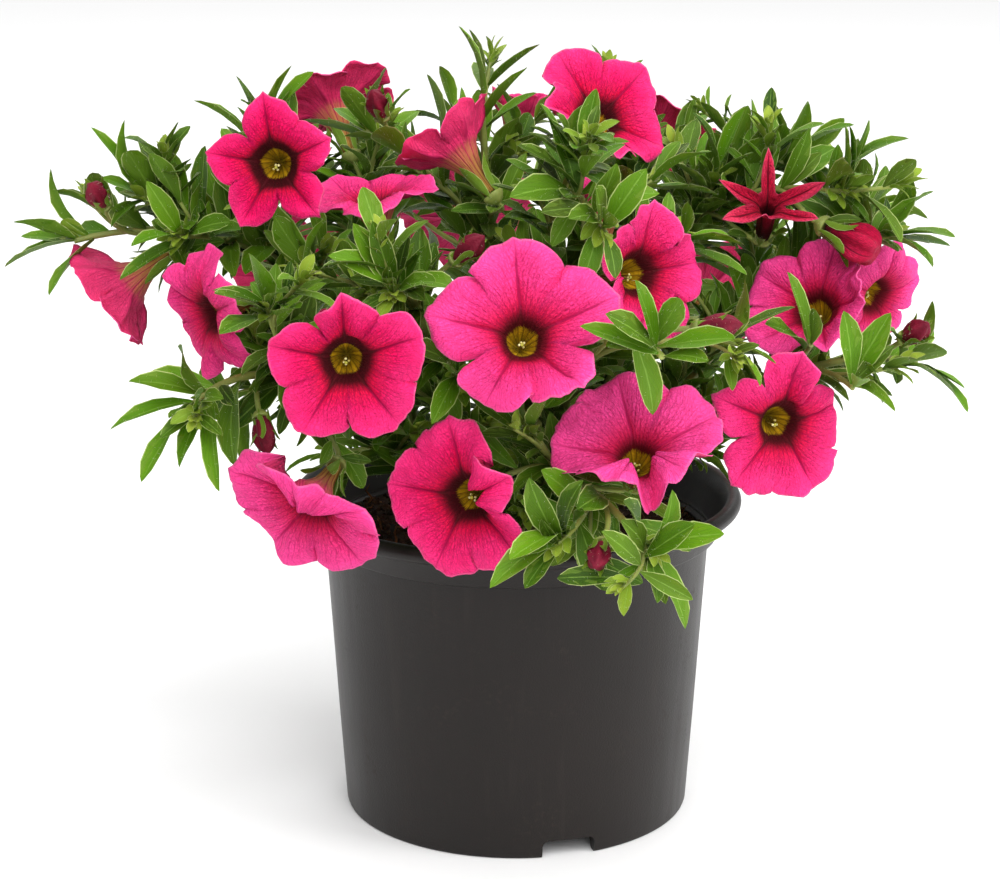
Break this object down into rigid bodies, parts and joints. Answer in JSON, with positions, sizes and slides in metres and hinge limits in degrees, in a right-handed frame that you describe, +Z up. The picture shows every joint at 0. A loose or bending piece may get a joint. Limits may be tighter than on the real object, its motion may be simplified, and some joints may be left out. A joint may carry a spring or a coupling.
{
  "type": "potted calibrachoa",
  "caption": "Bushy calibrachoa with funnel-shaped pink flowers and slim leaves, grown together with its round nursery pot, for standing on a flat surface.",
  "frame": {"origin": "centre of the pot's base, on the surface that it stands on", "axes": "+Z up along the pot's axis, -Y towards the front of the plant, +X to the right as seen from the front"},
  "size_m": [0.212, 0.1746, 0.186],
  "materials": {
    "pot_plastic": "satin",
    "potting_soil": "matte",
    "petal": "satin",
    "young_petal": "satin",
    "flower_heart": "matte",
    "foliage": "satin"
  },
  "bodies": {
    "root": {"pot": "pot_plastic", "soil": "potting_soil", "flower_01": "petal", "flower_02": "petal", "flower_03": "petal", "flower_04": "petal", "flower_05": "petal", "flower_06": "petal", "flower_07": "petal", "flower_08": "petal", "flower_09": "petal", "flower_10": "petal", "flower_11": "petal", "flower_12": "petal", "flower_13": "petal", "flower_14": "petal", "flower_15": "petal", "flower_16": "petal", "flower_17": "petal", "flower_18": "petal", "flower_19": "petal", "flower_20": "petal", "flower_21": "petal", "flower_22": "petal", "flower_01_heart": "flower_heart", "flower_02_heart": "flower_heart", "flower_03_heart": "flower_heart", "flower_04_heart": "flower_heart", "flower_05_heart": "flower_heart", "flower_06_heart": "flower_heart", "flower_07_heart": "flower_heart", "flower_08_heart": "flower_heart", "flower_09_heart": "flower_heart", "flower_10_heart": "flower_heart", "flower_11_heart": "flower_heart", "flower_12_heart": "flower_heart", "flower_13_heart": "flower_heart", "flower_14_heart": "flower_heart", "flower_15_heart": "flower_heart", "flower_16_heart": "flower_heart", "flower_17_heart": "flower_heart", "flower_18_heart": "flower_heart", "flower_19_heart": "flower_heart", "flower_20_heart": "flower_heart", "flower_21_heart": "flower_heart", "flower_22_heart": "flower_heart", "flower_star": "young_petal", "flower_folded": "young_petal", "spray_left_high": "foliage", "spray_left_low": "foliage", "spray_front_left": "foliage", "spray_crown_top": "foliage", "spray_crown_right": "foliage", "spray_front_mid": "foliage", "spray_right_high": "foliage", "spray_right_mid": "foliage", "spray_right_low": "foliage", "spray_front_low": "foliage", "spray_back_left": "foliage", "spray_back_right": "foliage"}
  },
  "joints": []
}
